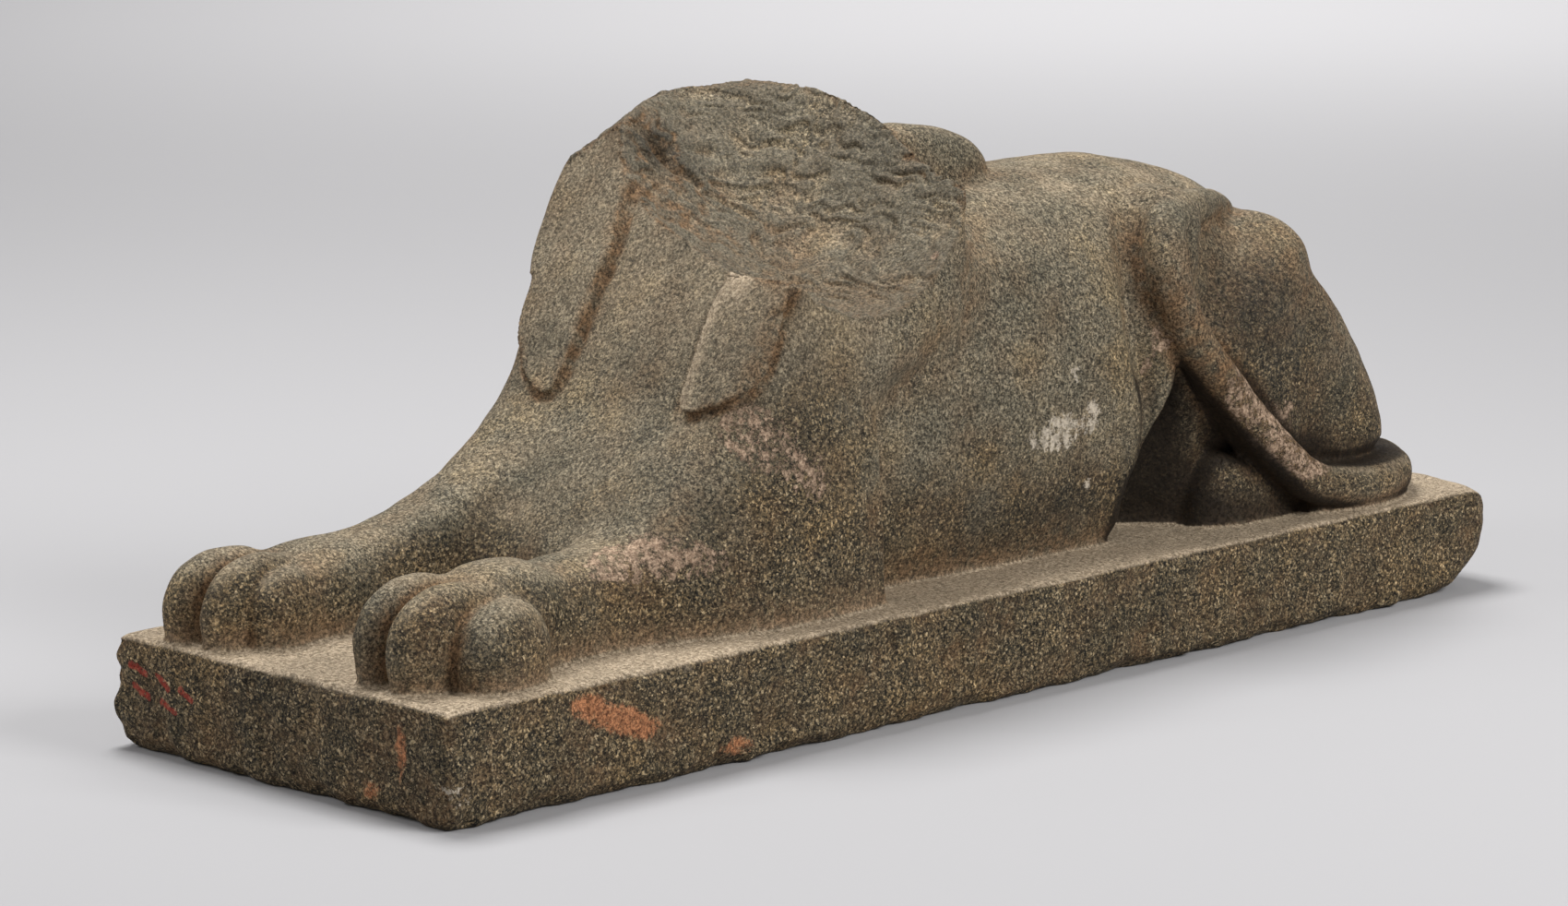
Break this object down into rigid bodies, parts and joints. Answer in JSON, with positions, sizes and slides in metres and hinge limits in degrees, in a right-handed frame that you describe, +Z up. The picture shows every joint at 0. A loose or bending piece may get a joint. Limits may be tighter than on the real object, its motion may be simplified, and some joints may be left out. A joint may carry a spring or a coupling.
{
  "type": "sphinx statue",
  "caption": "Headless reclining sphinx of dark speckled stone on a low rectangular slab, with outstretched forepaws, headcloth ends on the chest and a tail curled over the left thigh.",
  "frame": {"origin": "middle of the slab's flat underside", "axes": "+Z up, +Y towards the rump, -Y towards the forepaws, +X to the statue's left side, where the tail lies"},
  "size_m": [0.345, 1.1001, 0.42],
  "materials": {
    "stone": "matt, dark grey-green with cream and black speckles, worn and dusty"
  },
  "bodies": {
    "root": {"sphinx_statue": "stone"}
  },
  "joints": []
}
